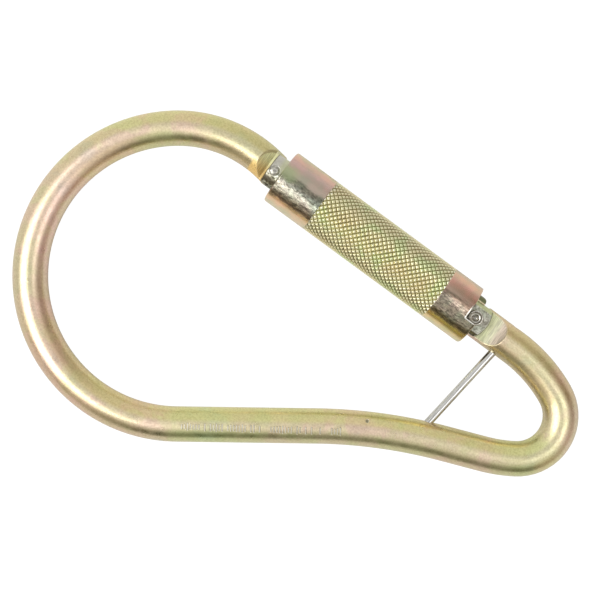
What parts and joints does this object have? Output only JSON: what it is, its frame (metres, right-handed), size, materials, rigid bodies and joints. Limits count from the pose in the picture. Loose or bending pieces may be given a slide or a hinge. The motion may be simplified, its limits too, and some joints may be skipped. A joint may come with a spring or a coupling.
{
  "type": "locking carabiner",
  "caption": "Pear-shaped steel carabiner in round bar with a large bow, a knurled twist-lock sleeve on the gate and a pinned captive eye.",
  "frame": {"origin": "centre of the bounding box", "axes": "+X along the load axis from the big bow to the captive eye, +Y across to the gate side, +Z normal to the flat of the carabiner"},
  "size_m": [0.2185, 0.1215, 0.0214],
  "materials": {
    "zinc_yellow": "satin yellow zinc plating",
    "sleeve_yellow": "glossy yellow zinc plating, knurled in the middle",
    "zinc_grey": "grey zinc plating",
    "rivet_steel": "peened steel",
    "bright_pin": "polished steel",
    "spring_steel": "plain spring steel"
  },
  "bodies": {
    "frame": {"body": "zinc_yellow", "captive_eye_pin": "bright_pin"},
    "gate": {"gate_arm": "zinc_grey", "latch_pin": "zinc_grey", "hinge_rivet": "rivet_steel", "gate_spring": "spring_steel", "sleeve_spring": "spring_steel", "sleeve_stop_pin": "spring_steel", "nose_snap_ring": "spring_steel", "hinge_snap_ring": "spring_steel"},
    "sleeve": {"lock_sleeve": "sleeve_yellow", "nose_bush": "zinc_grey", "hinge_bush": "zinc_grey"},
    "plunger": {"gate_plunger": "spring_steel"}
  },
  "joints": [
    {"name": "gate_swing", "type": "hinge", "parent": "frame", "child": "gate", "pos_m": [0.0584, 0.0267, 0], "axis": [0, 0, 1], "range_deg": [0, 40], "stiffness_Nm_per_rad": 0.4, "springref_deg": -85.94},
    {"name": "sleeve_twist", "type": "hinge", "parent": "gate", "child": "sleeve", "pos_m": [0.0584, 0.0267, 0], "axis": [-0.969, 0.247, 0], "range_deg": [0, 90], "stiffness_Nm_per_rad": 0.04, "springref_deg": -85.94, "deforming": ["sleeve_spring"]},
    {"name": "plunger_slide", "type": "slide", "parent": "gate", "child": "plunger", "axis": [-0.969, 0.247, 0], "range_m": [0, 0.0006], "deforming": ["gate_spring"]}
  ],
  "couplings": [
    {"joint": "plunger_slide", "follows": "gate_swing", "m_per_rad": 0.00083}
  ]
}
